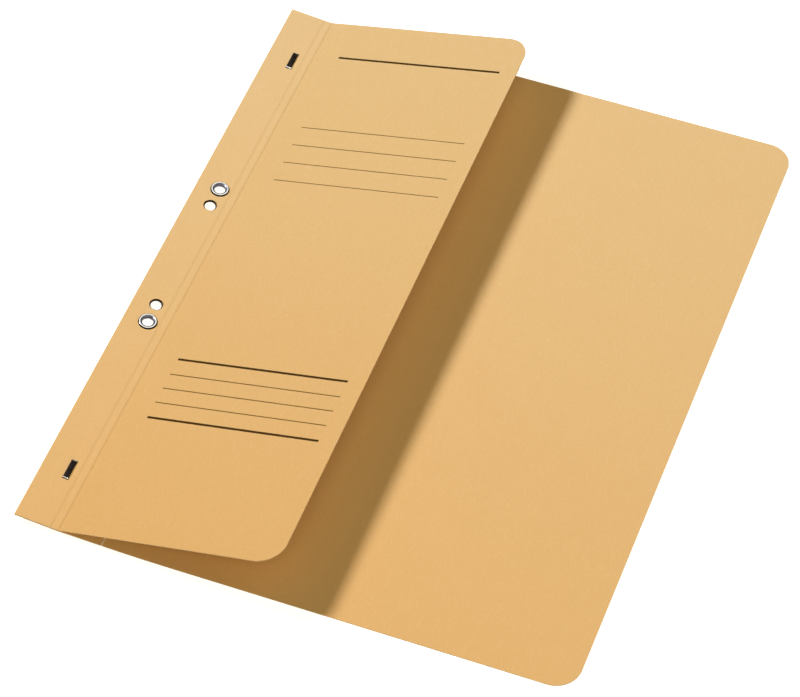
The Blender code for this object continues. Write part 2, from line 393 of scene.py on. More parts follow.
@dataclass(frozen=True)
class ManilaCard:
    """Unglazed manila card, pulp dyed buff and calendered: an even warm buff that is mottled by its fibres."""

    tone: str = "#E6BA7B"
    bound_tone: str = "#E8BE82"  # on the bound strip, painted paler than the front sheet's tone
    bound_edge: float = 0.0  # where the bound strip ends, or 0 where it has the same colour
    bound_fade: float = 0.2  # how far the change of colour reaches to each side
    grain_dark: str = "#D3A365"  # colour of the grain
    fibre: str = "#F3D8AB"  # colour of the fibres
    cloud: float = 18.0  # size of the slow clouds
    cloud_weight: float = 0.4  # against the grain
    grain: float = 0.8  # size of the grain
    grain_span: Point = (0.45, 0.95)  # levels of the noise over which the grain darkens
    grain_share: float = 0.16  # how much of its colour shows at most
    grain_height: float = 0.02  # how far grain and fibres stand up
    fibre_spacing: float = 1.3
    fibre_pull: Triple = (1.0, 0.3, 1.0)  # how the fibres are drawn out along the three axes
    fibre_width: float = 0.035  # in the noise that draws them
    fibre_share: float = 0.14  # how much of their colour shows at most
    score_span: Point = (0.3, 0.6)  # levels of the noise over which a score line's tint breaks up
    score_left: Point = (0.5, 1.0)  # the tint that is left, lowest and highest
    score_core: float = 0.25  # share of a score line's half width that has its full tint
    matt_span: Point = (0.3, 0.7)  # levels of the noise over which it grows rough
    roughness: Point = (0.78, 0.9)  # lowest and highest

    def material(self, name: str, creases: Sequence[Crease]) -> bpy.types.Material:
        """Make the card's finish, with the tint of its score lines.

        Args:
            name: the material's name.
            creases: the score lines of the sheet.

        Returns:
            The material.
        """
        material, tree = new_material(name)
        place = add_node(tree, "Attribute", output="Vector", attribute_name=PLACE)
        across = add_node(tree, "SeparateXYZ", {"Vector": place}, "X")
        # Slow clouds and a fine grain, as dyed pulp settles unevenly on the wire
        clouds = add_node(tree, "TexNoise", {"Vector": place, "Scale": 1 / self.cloud, "Detail": 2.0})
        grain = add_node(tree, "TexNoise", {"Vector": place, "Scale": 1 / self.grain, "Detail": 3.0})
        weighted = add_node(tree, "Math", (clouds, self.cloud_weight, grain), operation="MULTIPLY_ADD")
        depth = add_node(tree, "MapRange", (weighted, *self.grain_span, 0.0, self.grain_share))
        # Short fibres that lie along the page, the machine direction of the card
        drawn = add_node(tree, "VectorMath", (place, self.fibre_pull), operation="MULTIPLY")
        strands = add_node(tree, "TexNoise", {"Vector": drawn, "Scale": 1 / self.fibre_spacing, "Detail": 2.0,
                                              "Distortion": 0.6})
        away = add_node(tree, "Math", (strands, 0.5), operation="SUBTRACT")
        near = add_node(tree, "Math", (away,), operation="ABSOLUTE")
        strand = add_node(tree, "MapRange", (near, 0.0, self.fibre_width, self.fibre_share, 0.0))
        layers = [(depth, self.grain_dark), (strand, self.fibre)]
        if self.bound_edge:
            # The bound strip is painted paler, to make up for the light it loses by tilting away from the main lamp
            fade = (self.bound_edge + self.bound_fade, self.bound_edge - self.bound_fade)
            layers.insert(0, (add_node(tree, "MapRange", (across, *fade)), self.bound_tone))
        # The tint of a score line breaks up with the grain
        broken = add_node(tree, "MapRange", (grain, *self.score_span, *self.score_left))
        for crease in creases:
            offset = add_node(tree, "Math", (across, crease.at), operation="SUBTRACT")
            off = add_node(tree, "Math", (offset,), operation="ABSOLUTE")
            core = crease.half_width * self.score_core
            band = add_node(tree, "MapRange", (off, core, crease.half_width, crease.share, 0.0))
            layers.append((add_node(tree, "Math", (band, broken), operation="MULTIPLY"), crease.colour))
        colour = linear(self.tone)
        for share, over in layers:
            colour = add_node(tree, "Mix", {SHARE: share, UNDER: colour, OVER: linear(over)}, MIXED,
                              data_type="RGBA")
        height = add_node(tree, "Math", (strand, grain), operation="ADD")
        bump = add_node(tree, "Bump", {"Height": height, "Strength": 0.35, "Distance": self.grain_height * METRES})
        matt = add_node(tree, "MapRange", (grain, *self.matt_span, *self.roughness))
        surface = add_node(tree, "BsdfPrincipled", {"Base Color": colour, "Roughness": matt, "IOR": 1.45,
                                                    "Specular IOR Level": 0.3, "Normal": bump})
        add_node(tree, "OutputMaterial", {"Surface": surface})
        return material


@dataclass(frozen=True)
class CutCardEdge:
    """The cut edge of the card: paler than the faces, with the torn fibres lying in layers."""

    pale: str = "#EFCF9E"  # torn fibres
    dark: str = "#DDB47C"  # between the layers
    layer: float = 0.12  # thickness of a layer
    layer_pull: Triple = (0.25, 0.25, 1.0)  # how the layers are drawn out along the three axes
    layer_height: float = 0.03  # how far they stand up

    def material(self, name: str) -> bpy.types.Material:
        """Make the finish of the cut edges.

        Args:
            name: the material's name.

        Returns:
            The material.
        """
        material, tree = new_material(name)
        place = add_node(tree, "Attribute", output="Vector", attribute_name=PLACE)
        # Layers are long along the edge and thin through the card
        layered = add_node(tree, "VectorMath", (place, self.layer_pull), operation="MULTIPLY")
        fibres = add_node(tree, "TexNoise", {"Vector": layered, "Scale": 1 / self.layer, "Detail": 2.0})
        colour = add_node(tree, "Mix", {SHARE: fibres, UNDER: linear(self.pale), OVER: linear(self.dark)}, MIXED,
                          data_type="RGBA")
        bump = add_node(tree, "Bump", {"Height": fibres, "Strength": 0.4, "Distance": self.layer_height * METRES})
        surface = add_node(tree, "BsdfPrincipled", {"Base Color": colour, "Roughness": 0.9, "IOR": 1.45,
                                                    "Specular IOR Level": 0.2, "Normal": bump})
        add_node(tree, "OutputMaterial", {"Surface": surface})
        return material


@dataclass(frozen=True)
class PrintersInk:
    """Brown-black litho ink on uncoated card: matt, a little starved where the fibres stand up."""

    full: str  # colour where it lies full
    starved: str  # colour where the card shows through
    fibre: float = 0.5  # size of the fibres under it
    starved_span: Point = (0.45, 0.75)  # levels of the noise over which it is starved
    starving: float = 0.7  # how much of the starved colour shows at most
    roughness: Point = (0.6, 0.8)  # lowest and highest

    def material(self, name: str) -> bpy.types.Material:
        """Make the finish of the printed lines.

        Args:
            name: the material's name.

        Returns:
            The material.
        """
        material, tree = new_material(name)
        spot = add_node(tree, "TexCoord", output="Object")
        fibres = add_node(tree, "TexNoise", {"Vector": spot, "Scale": 1 / (self.fibre * METRES), "Detail": 2.0})
        share = add_node(tree, "MapRange", (fibres, *self.starved_span, 0.0, self.starving))
        colour = add_node(tree, "Mix", {SHARE: share, UNDER: linear(self.full), OVER: linear(self.starved)}, MIXED,
                          data_type="RGBA")
        matt = add_node(tree, "MapRange", (fibres, 0.0, 1.0, *self.roughness))
        surface = add_node(tree, "BsdfPrincipled", {"Base Color": colour, "Roughness": matt, "IOR": 1.45,
                                                    "Specular IOR Level": 0.1})
        add_node(tree, "OutputMaterial", {"Surface": surface})
        return material


@dataclass(frozen=True)
class SheetMetal:
    """Thin plated or drawn metal: a clear reflection, softened along the way it was rolled or drawn."""

    bright: str  # colour where it is rubbed clean
    dull: str  # colour where it is handled and oxidised
    smoothest: float  # roughness of its brightest places
    roughest: float  # roughness of its dullest places
    scratch: float  # spacing of the rolling lines
    scratch_depth: float
    stretch: Triple = (1.0, 1.0, 1.0)  # how the pattern is drawn out along the three axes
    cloud: float = 3.0  # size of the dull clouds that handling leaves
    dull_span: Point = (0.75, 1.3)  # levels of the noise over which it goes dull
    rough_span: Point = (0.6, 1.4)  # levels of the noise over which it grows rough

    def material(self, name: str) -> bpy.types.Material:
        """Make the metal's finish.

        Args:
            name: the material's name.

        Returns:
            The material.
        """
        material, tree = new_material(name)
        spot = add_node(tree, "TexCoord", output="Object")
        drawn = add_node(tree, "Mapping", {"Vector": spot, "Scale": self.stretch})
        lines = add_node(tree, "TexNoise", {"Vector": drawn, "Scale": 1 / (self.scratch * METRES), "Detail": 3.0})
        clouds = add_node(tree, "TexNoise", {"Vector": spot, "Scale": 1 / (self.cloud * METRES), "Detail": 3.0})
        both = add_node(tree, "Math", (lines, clouds), operation="ADD")
        share = add_node(tree, "MapRange", (both, *self.dull_span))
        colour = add_node(tree, "Mix", {SHARE: share, UNDER: linear(self.bright), OVER: linear(self.dull)}, MIXED,
                          data_type="RGBA")
        rough = add_node(tree, "MapRange", (both, *self.rough_span, self.smoothest, self.roughest))
        bump = add_node(tree, "Bump", {"Height": lines, "Strength": 0.3, "Distance": self.scratch_depth * METRES})
        surface = add_node(tree, "BsdfPrincipled", {"Base Color": colour, "Metallic": 1.0, "Roughness": rough,
                                                    "Normal": bump})
        add_node(tree, "OutputMaterial", {"Surface": surface})
        return material


# The walls of a punched hole: the layers of the cut edge, painted near black as the shade inside the hole
HOLE_WALL_SHADE = CutCardEdge("#22170C", "#0E0904")
# Full ink on the heavy lines, and a screened tint that lets the card show through on the fine ones
HEAVY_INK = PrintersInk("#3E2902", "#573B08")
FINE_INK = PrintersInk("#7A5E2C", "#9A7A40")
# Nickel plate on a drawn eyelet: bright and neutral, with faint handling marks
NICKEL_PLATE = SheetMetal("#FAF7F1", "#E2DDD4", 0.10, 0.24, 0.25, 0.004)
# The same plate painted near black on the steep walls of the eyelet, as painted shade and a painted dark reflection
SHADED_NICKEL = SheetMetal("#1B1715", "#0A0807", 0.32, 0.5, 0.25, 0.004)
# The same plate painted dark and mottled down the funnel and the barrel, as painted shade
SHADED_BARREL_NICKEL = SheetMetal("#6C6B75", "#080709", 0.26, 0.45, 0.25, 0.004, cloud=0.8)
# Flat stitching wire with a black baked finish, near black with a painted dark reflection added, with faint lines
# along the way it was drawn
BLACK_WIRE = SheetMetal("#322B27", "#0E0B09", 0.26, 0.45, 0.18, 0.006, (1.0, 0.08, 1.0))
# A painted highlight: the same wire painted near white on the bends where they face up and along the page
HIGHLIGHT_WIRE = SheetMetal("#E4E2DE", "#B8B5B0", 0.16, 0.28, 0.18, 0.004, (1.0, 0.3, 1.0))
# Tinplate strip: pale grey with lines along the way it was rolled, drawn coarser than real ones so that they show
TINPLATE = SheetMetal("#D0D0CD", "#A2A3A1", 0.24, 0.42, 0.45, 0.003, (1.0, 0.03, 1.0), 12.0)


# Card sheets

def slope(degrees: float) -> Vector:
    """The direction of a line that falls to the right by an angle, seen along the page."""
    return Vector((math.cos(math.radians(degrees)), -math.sin(math.radians(degrees))))


def straight(point: Vector, way: Vector, at: float) -> Span:
    """A straight span of a sheet's line, which runs one way through a point at a distance from the bound edge."""
    return lambda u: (point + way * (u - at), way)


@dataclass
class SheetPath:
    """The line that the middle of a card sheet follows, seen along the page."""

    spans: Sequence[tuple[float, Span]]  # where each starts, with its point and direction at a distance
    rounding: float = 0.6  # how far the card bends to each side of a score line
    parallel: float = 1e-4  # how little two directions turn where they run on

    def line(self, u: float) -> tuple[Vector, Vector]:
        """The unrounded line: its point and direction at a distance from the bound edge."""
        reached = [span for start, span in self.spans if u >= start]
        return (reached or [self.spans[0][1]])[-1](u)

    def spot(self, u: float, height: float) -> Point:
        """Where a point of the sheet lies in the row frame.

        Args:
            u: its distance from the bound edge along the card.
            height: its height above the middle of the card.

        Returns:
            Its place across the page and above the table.
        """
        point, way = self.line(u)
        for start, _ in self.spans[1:]:
            if abs(u - start) < self.rounding:
                first, first_way = self.line(start - self.rounding)
                last, last_way = self.line(start + self.rounding)
                corner = first + first_way * self.meet(last - first, first_way, last_way)
                t = (u - start + self.rounding) / (2 * self.rounding)
                point = first * (1 - t) ** 2 + corner * 2 * t * (1 - t) + last * t ** 2
                way = ((corner - first) * (1 - t) + (last - corner) * t).normalized()
        return point.x - way.y * height, point.y + way.x * height

    def meet(self, gap: Vector, first_way: Vector, last_way: Vector) -> float:
        """How far along a first line a last one meets it.

        Args:
            gap: the way from a point of the first line to a point of the last.
            first_way: the direction of the first line.
            last_way: the direction of the last line.

        Returns:
            That distance, or half the gap where the lines run on.
        """
        turn = first_way.x * last_way.y - first_way.y * last_way.x
        if abs(turn) < self.parallel:
            return gap.length / 2
        return (gap.x * last_way.y - gap.y * last_way.x) / turn


@dataclass
class CardPiece:
    """One piece of a card sheet, cut flat, scored and folded into place."""

    name: str
    start: float  # from the bound edge
    end: float
    creases: Sequence[Crease]  # the score lines on it
    path: SheetPath
    corner: float = 0.0  # radius of its free corners, or 0 where it has none
    columns: Sequence[float] = ()  # further distances at which it is divided
    rows: Sequence[float] = ()  # heights up the page at which it is divided
    corner_steps: int = 16
    score_steps: Sequence[float] = (-1.0, -0.66, -0.33, 0.0, 0.33, 0.66, 1.0)  # divisions across a score line
    bend_steps: Sequence[float] = (0.5, 1.0, 1.5)  # divisions beside a bend, by its rounding
    rim_reach: float = 4.0  # how far from a hole's middle a wall is still the hole's
    wall_slope: float = 0.95  # how far upwards the normal of a wall points at most
    smooth_angle: float = 32.0
    piece: Piece = field(init=False)

    def cut_blank(self) -> None:
        """Cut the flat blank, round its free corners, divide it and give it its thickness."""
        middle = (self.start + self.end) / 2
        clear_selection()
        bpy.ops.mesh.primitive_plane_add(size=1, location=(middle, 0, 0))
        self.piece = named(self.name, (self.end - self.start, FOLDER.height, 1))
        if self.corner:
            edit(self.piece, Element.VERTEX, lambda vertex: vertex.co.x > middle)
            bpy.ops.mesh.bevel(offset_type="OFFSET", offset=self.corner, segments=self.corner_steps,
                               affect="VERTICES")
        lines = list(self.columns)
        for crease in self.creases:
            lines += [crease.at + step * crease.half_width for step in self.score_steps]
            lines += [crease.at + side * self.path.rounding * step for side in (-1, 1) for step in self.bend_steps]
        across = sorted({round(u, 3) for u in lines if self.start < u < self.end})
        cuts = [((u, 0, 0), (1, 0, 0)) for u in across] + [((0, y, 0), (0, 1, 0)) for y in self.rows]
        for point, normal in cuts:
            edit(self.piece, Element.FACE)
            bpy.ops.mesh.bisect(plane_co=point, plane_no=normal)
        clear_selection()
        modify(self.piece, "SOLIDIFY", thickness=FOLDER.card, offset=0.0)

    def fold(self, faces: bpy.types.Material, edges: bpy.types.Material, rims: bpy.types.Material | None = None,
             holes: Sequence[Point] = ()) -> None:
        """Write each vertex's place on the flat sheet, press the score lines and fold the sheet.

        Args:
            faces: the finish of the two faces.
            edges: the finish of the cut edges.
            rims: the finish of the punched holes' walls, painted dark as shade.
            holes: the middles of the punched holes.
        """
        mesh = self.piece.data
        for finish in filter(None, (faces, edges, rims)):
            mesh.materials.append(finish)
        # Walls near a hole take the painted shade, the other walls the cut edge's finish
        for polygon in mesh.polygons:
            if abs(polygon.normal.z) < self.wall_slope:
                punched = any((polygon.center.xy - Vector(hole)).length < self.rim_reach for hole in holes)
                polygon.material_index = 2 if punched else 1
        place = mesh.attributes.new(PLACE, "FLOAT_VECTOR", "POINT")
        for vertex in mesh.vertices:
            place.data[vertex.index].vector = vertex.co
            u, height = vertex.co.x, vertex.co.z
            for crease in self.creases:
                off = abs(u - crease.at) / crease.half_width
                if off < 1:
                    height += crease.rise * math.cos(off * math.pi / 2) ** 2
            vertex.co.x, vertex.co.z = self.path.spot(u, height)
        mesh.update()
        smooth(self.piece, self.smooth_angle)


@dataclass(frozen=True)
class Punching:
    """Holes through the card, punched while it is flat."""

    eyelet_radius: float = 3.15  # the hole that an eyelet's barrel fills
    hole: Point = (10.25, 30.0)  # the plain holes' distance from the bound edge and from mid-height
    leg_slot: Point = (2.8, 0.74)  # width and length of the slit round a stitch leg
    row_reach: float = 35.0  # a height between an eyelet and a plain hole
    round_steps: int = 64  # facets in a round hole
    depth: float = 4.0  # length of a punch

    @property
    def holes(self) -> list[Point]:
        """The middles of the two plain holes."""
        return [(self.hole[0], end.value * self.hole[1]) for end in End]

    @property
    def rows(self) -> list[float]:
        """Heights that part the holes, so that no face of the blank has two in line."""
        return [end.value * reach for end in End for reach in (FOLDER.stitch[1], self.row_reach)]

    def round_tool(self, u: float, y: float, radius: float, taper: float = 0.0) -> Piece:
        """A round punch through the flat sheet.

        Args:
            u: its distance from the bound edge.
            y: its place up the page.
            radius: its radius in the middle of the card.
            taper: how much wider it is for each millimetre upwards.

        Returns:
            The punch.
        """
        flare = taper * self.depth / 2
        clear_selection()
        bpy.ops.mesh.primitive_cone_add(vertices=self.round_steps, radius1=radius - flare, radius2=radius + flare,
                                        depth=self.depth, location=(u, y, 0))
        return named("round_punch")

    def slot_tool(self, u: float, y: float, size: Point) -> Piece:
        """A slot punch through the flat sheet.

        Args:
            u: its distance from the bound edge.
            y: its place up the page.
            size: its size across the page and up it.

        Returns:
            The punch.
        """
        clear_selection()
        bpy.ops.mesh.primitive_cube_add(size=1, location=(u, y, 0))
        return named("slot_punch", (*size, self.depth))

    def cut_strip(self, strip: CardPiece, hole: Point, slip: Point) -> None:
        """Punch one layer of the bound strip.

        Args:
            strip: the layer, still flat.
            hole: the radius of this layer's plain holes, and how much wider they are for each millimetre upwards.
            slip: how far this layer's plain holes are out of register.
        """
        tools = []
        for way in (end.value for end in End):
            tools.append(self.round_tool(FOLDER.eyelet[0], way * FOLDER.eyelet[1], self.eyelet_radius))
            tools.append(self.round_tool(self.hole[0] + slip[0], way * self.hole[1] + slip[1], *hole))
            for leg in (-FOLDER.leg_reach, FOLDER.leg_reach):
                tools.append(self.slot_tool(FOLDER.stitch[0], way * FOLDER.stitch[1] + leg, self.leg_slot))
        punch(strip.piece, tools)


PUNCHING = Punching()


@dataclass
class CardSheet(ABC):
    """A sheet of two pieces: its layer of the bound strip, and the leaf that meets it at a seam."""

    side: str  # as the names have it
    leaf: str  # the leaf's name
    leaf_nodes: tuple[str, str]  # the nodes that the leaf stands for
    bodies: tuple[Body, Body, Body]  # from the bound edge on, meeting at the score lines
    seam: float  # where the two pieces meet, from the bound edge
    free_edge: float  # where the leaf ends
    hole: Point  # radius of the plain holes, and how much wider for each millimetre upwards
    slip: Point = (0.0, 0.0)  # how far the plain holes are out of register
    card: ManilaCard = ManilaCard()
    edge: CutCardEdge = CutCardEdge()
    bend: float = 0.75  # a distance to each side of a score line, at which place() finds two points that it doesn't use

    @property
    @abstractmethod
    def creases(self) -> tuple[Crease, Crease]:
        """The score line on the strip's layer and the one on the leaf."""

    @abstractmethod
    def path(self) -> SheetPath:
        """The line of the sheet's middle."""

    @property
    def columns(self) -> list[float]:
        """Further distances at which the leaf is divided."""
        return []

    def leaf_tools(self) -> list[Piece]:
        """The punches of the leaf."""
        return []

    def build(self) -> None:
        """Cut, punch, fold and place both pieces."""
        path = self.path()
        faces = self.card.material(f"manila_card_{self.side}", self.creases)
        edges = self.edge.material(f"manila_card_{self.side}_edge")
        strip = CardPiece(f"{self.side}_strip", 0.0, self.seam, self.creases[:1], path, rows=PUNCHING.rows)
        strip.cut_blank()
        PUNCHING.cut_strip(strip, self.hole, self.slip)
        strip.fold(faces, edges, HOLE_WALL_SHADE.material(f"{self.side}_punched_rim"), PUNCHING.holes)
        self.place(strip, (f"strip_{self.side}",), self.bodies[:2])
        leaf = CardPiece(self.leaf, self.seam, self.free_edge, self.creases[1:], path, FOLDER.corner, self.columns)
        leaf.cut_blank()
        tools = self.leaf_tools()
        if tools:
            punch(leaf.piece, tools)
        leaf.fold(faces, edges)
        self.place(leaf, self.leaf_nodes, self.bodies[1:])

    def place(self, part: CardPiece, nodes: Sequence[str], bodies: Sequence[Body]) -> None:
        """Hand a piece over and bake its place into its mesh.

        Args:
            part: the piece, with its one score line.
            nodes: the nodes that it stands for.
            bodies: the bodies to the left and the right of the score line; not used.
        """
        hand_over(part.piece, nodes)
        score = part.creases[0].at
        start, end = (part.path.line(score + side * self.bend)[0] * METRES for side in (-1, 1))
        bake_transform(part.piece)
        LOG.info("folded %s", part.name)


@dataclass
class FrontSheet(CardSheet):
    """The front sheet: the top layer of the bound strip, a band between two score lines, and the half cover."""

    side: str = "front"
    leaf: str = "half_cover"
    leaf_nodes: tuple[str, str] = ("front_band", "front_cover")
    bodies: tuple[Body, Body, Body] = (Body.STRIP, Body.BAND, Body.COVER)
    seam: float = 17.55
    free_edge: float = 117.5
    hole: Point = (2.95, 0.3)
    # The front sheet is painted darker than the back, to make up for the extra light the cover takes by tilting
    # towards the main lamp
    card: ManilaCard = ManilaCard("#DFB373", bound_edge=FOLDER.spine_score)
    first_score: float = 15.8  # between the strip and the band, from the bound edge
    level: float = 0.5  # height of its middle over the spine's axis
    hinge_level: float = 0.7  # height of the cover's axis over the spine's

    @property
    def creases(self) -> tuple[Crease, Crease]:
        """The two scores, whose grooves are painted a little darker as shade."""
        return (Crease(self.first_score, -0.03, 0.85, "#C99A5E", 0.27),
                Crease(FOLDER.spine_score, -0.03, 0.7, "#BF8D4E", 0.42))

    def path(self) -> SheetPath:
        """Draw the line of the sheet's middle: along the strip, then up along the cover.

        Returns:
            The line.
        """
        strip, cover = slope(FOLDER.strip_tilt), slope(FOLDER.cover_tilt)
        spine = joint_point("spine_fold").xz + Vector((-strip.y, strip.x)) * self.level
        hinge = joint_point("cover_fold").xz + Vector((-cover.y, cover.x)) * (self.level - self.hinge_level)
        score = FOLDER.spine_score
        return SheetPath([(0.0, straight(spine, strip, score)), (score, straight(hinge, cover, score))])


@dataclass
class BackSheet(CardSheet):
    """The back sheet: the under layer of the bound strip, the margin and the large back cover."""

    side: str = "back"
    leaf: str = "full_back"
    leaf_nodes: tuple[str, str] = ("back_margin", "back_cover")
    bodies: tuple[Body, Body, Body] = (Body.STRIP, Body.MARGIN, Body.BACK)
    seam: float = 24.0
    free_edge: float = 238.0
    hole: Point = (2.6, 1.3)
    slip: Point = (-0.15, 0.12)
    curl_rise: float = 0.78  # how far the back cover stands up at its score line
    curl_length: float = 31.9  # how far from there it lies flat
    curl_steps: int = 8  # facets in that curl
    prong_slot: Point = (5.1, 0.85)  # width and length of a slot for a prong

    @property
    def creases(self) -> tuple[Crease, Crease]:
        """The spine score with painted shade in its groove, and the back score with a painted highlight on its
        bead.
        """
        return (Crease(FOLDER.spine_score, -0.05, 0.55, "#D9AC70", 0.5),
                Crease(FOLDER.back_score, 0.25, 0.5, "#FFF6E6", 1.0))

    @property
    def columns(self) -> list[float]:
        """Distances at which the back cover is divided along its curl."""
        return [FOLDER.back_score + self.curl_length * (step + 1) / self.curl_steps
                for step in range(self.curl_steps)]

    def leaf_tools(self) -> list[Piece]:
        """The punches of the slots for the prongs."""
        return [PUNCHING.slot_tool(FOLDER.prong[0], end.value * FOLDER.prong[1], self.prong_slot) for end in End]

    def path(self) -> SheetPath:
        """Draw the line of the sheet's middle: down the strip and the margin, then a slow curl onto the table.

        Returns:
            The line.
        """
        spine, hinge = joint_point("spine_fold").xz, joint_point("back_fold").xz
        strip = straight(spine, slope(FOLDER.strip_tilt), FOLDER.spine_score)
        margin = straight(hinge, slope(FOLDER.margin_tilt), FOLDER.back_score)
        return SheetPath([(0.0, strip), (FOLDER.spine_score, margin), (FOLDER.back_score, self.on_back)])

    def on_back(self, u: float) -> tuple[Vector, Vector]:
        """Follow the back cover's line out of its curl.

        Args:
            u: a distance from the bound edge.

        Returns:
            The line's point there and its direction.
        """
        left = max(0.0, 1 - (u - FOLDER.back_score) / self.curl_length)
        point = Vector((u - self.free_edge / 2, FOLDER.card / 2 + self.curl_rise * left ** 2))
        return point, Vector((1, -2 * self.curl_rise * left / self.curl_length)).normalized()


@dataclass
class WritingRules:
    """Printed lines to write on, on the front of the half cover."""

    left: float = 12.2  # from the cover's score line
    right: float = 90.3
    heavy: float = 1.15  # weight of the heavy lines
    fine: float = 0.54  # weight of the lower block
    finest: float = 0.45  # weight of the upper block
    film: float = 0.03  # thickness of the ink
    rounding: float = 0.3  # of a line's ends, as a share of its weight
    heading: Sequence[float] = (130.55,)  # heights up the page
    upper: Sequence[float] = (85.12, 74.07, 63.02, 51.97)
    lower: Sequence[float] = (-64.3, -72.2, -80.15)
    frame_lines: Sequence[float] = (-55.77, -88.55)  # over and under the lower block

    def build(self) -> None:
        """Print the heading line, the upper block and the lower block."""
        place = tilted(joint_point("cover_fold"), FOLDER.cover_tilt)
        full, tint = HEAVY_INK.material("brown_black_ink"), FINE_INK.material("screened_brown_ink")
        for name, weight, lines, ink in (("rule_heading", self.heavy, self.heading, full),
                                         ("rules_upper", self.finest, self.upper, tint),
                                         ("rules_lower", self.fine, self.lower, tint),
                                         ("rules_lower_frame", self.heavy, self.frame_lines, full)):
            piece = self.block(name, lines, weight)
            piece.data.materials.append(ink)
            hand_over(piece, [], place)
            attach(piece, Body.COVER.value)
            LOG.info("printed %s", name)

    def block(self, name: str, lines: Sequence[float], weight: float) -> Piece:
        """Draw a block of lines as one film of ink.

        Args:
            name: the piece's name.
            lines: each line's height up the page.
            weight: the lines' weight.

        Returns:
            The piece, in the cover's frame.
        """
        pieces = []
        for y in lines:
            clear_selection()
            bpy.ops.mesh.primitive_cube_add(size=1, location=((self.left + self.right) / 2, y, self.film / 2))
            line = named(name, (self.right - self.left, weight, self.film))
            edit(line, Element.EDGE, lambda e: abs(e.verts[0].co.z - e.verts[1].co.z) > self.film / 2)
            bpy.ops.mesh.bevel(offset=weight * self.rounding, segments=EDGE_STEPS)
            bpy.ops.object.mode_set(mode="OBJECT")
            pieces.append(line)
        activate(pieces[0])
        for line in pieces:
            line.select_set(True)
        if len(pieces) > 1:
            bpy.ops.object.join()
        return pieces[0]


# Metal

@dataclass(frozen=True)
class Arc:
    """An arc of an ellipse in an eyelet's outline."""

    radius: float  # its middle's distance from the eyelet's axis
    level: float  # its middle's height over the middle of the under layer
    half_width: float  # away from the axis
    half_height: float  # upwards
    start: float  # angle
    stop: float  # angle
    steps: int  # facets

    def points(self) -> list[Point]:
        """Step round the arc.

        Returns:
            Its points, each with its distance from the axis and its height.
        """
        turns = [math.radians(self.start + (self.stop - self.start) * step / self.steps)
                 for step in range(self.steps + 1)]
        return [(self.radius + self.half_width * math.cos(turn), self.level + self.half_height * math.sin(turn))
                for turn in turns]


@dataclass
class Eyelets:
    """Two drawn eyelets, each with a domed flange on the front and a rolled clinch on the back."""

    steps: int = 72  # facets round an eyelet
    dome: Arc = Arc(3.45, 0.70, 0.70, 0.70, 1, 120, 16)  # outside of the flange
    throat: Arc = Arc(2.67, 0.77, 0.25, 0.25, 120, 180, 5)  # bend from the flange into the barrel
    clinch: Arc = Arc(3.225, -0.17, 0.805, 0.46, 180, 354, 10)  # inside of the barrel and outside of the clinch
    clinch_inside: Arc = Arc(3.25, -0.17, 0.54, 0.21, 354, 180, 8)
    dome_inside: Arc = Arc(3.46, 0.71, 0.42, 0.43, 165, 0, 8)  # underside of the flange
    crest: Point = (3.17, 3.74)  # radii between which the flange keeps the bright plate; outside them its walls are painted dark as shade
    crest_level: float = 0.9  # height above which it is
    funnel_radius: float = 3.0  # within which the funnel is painted dark and mottled, as shade
    clinch_level: float = -0.25  # below which the clinch is bright
    merge: float = 0.005  # distance below which vertices merge
    smooth_angle: float = 60.0

    def profile(self) -> list[Point]:
        """The wall's outline: over the dome, down the funnel and the barrel, round the clinch and back inside."""
        arcs = (self.dome, self.throat, self.clinch, self.clinch_inside, self.dome_inside)
        return [point for arc in arcs for point in arc.points()]

    def build(self) -> None:
        """Spin one eyelet, dress it, copy it and set both in the strip."""
        profile = self.profile()
        clear_selection()
        bpy.ops.mesh.primitive_circle_add(vertices=len(profile), radius=1)
        ring = named("eyelet_ring_upper")
        for vertex, (radius, height) in zip(ring.data.vertices, profile):
            vertex.co = (radius, 0, height)
        edit(ring, Element.VERTEX)
        bpy.ops.mesh.spin(steps=self.steps, angle=math.tau, center=(0, 0, 0), axis=(0, 0, 1))
        bpy.ops.object.mode_set(mode="OBJECT")
        tidy_mesh(ring, self.merge)
        smooth(ring, self.smooth_angle)
        for finish, name in ((NICKEL_PLATE, "nickel_plate"), (SHADED_NICKEL, "dulled_nickel"),
                             (SHADED_BARREL_NICKEL, "barrel_nickel")):
            ring.data.materials.append(finish.material(name))
        # Only the crest and the clinch keep the plate's own colour; the steep walls and the funnel take painted
        # shade
        for polygon in ring.data.polygons:
            radius, level = polygon.center.xy.length, polygon.center.z
            crest = level > self.crest_level and self.crest[0] < radius < self.crest[1]
            if not crest and level > self.clinch_level:
                polygon.material_index = 2 if radius < self.funnel_radius else 1
        set_in_strip(ring, "eyelet", FOLDER.eyelet)


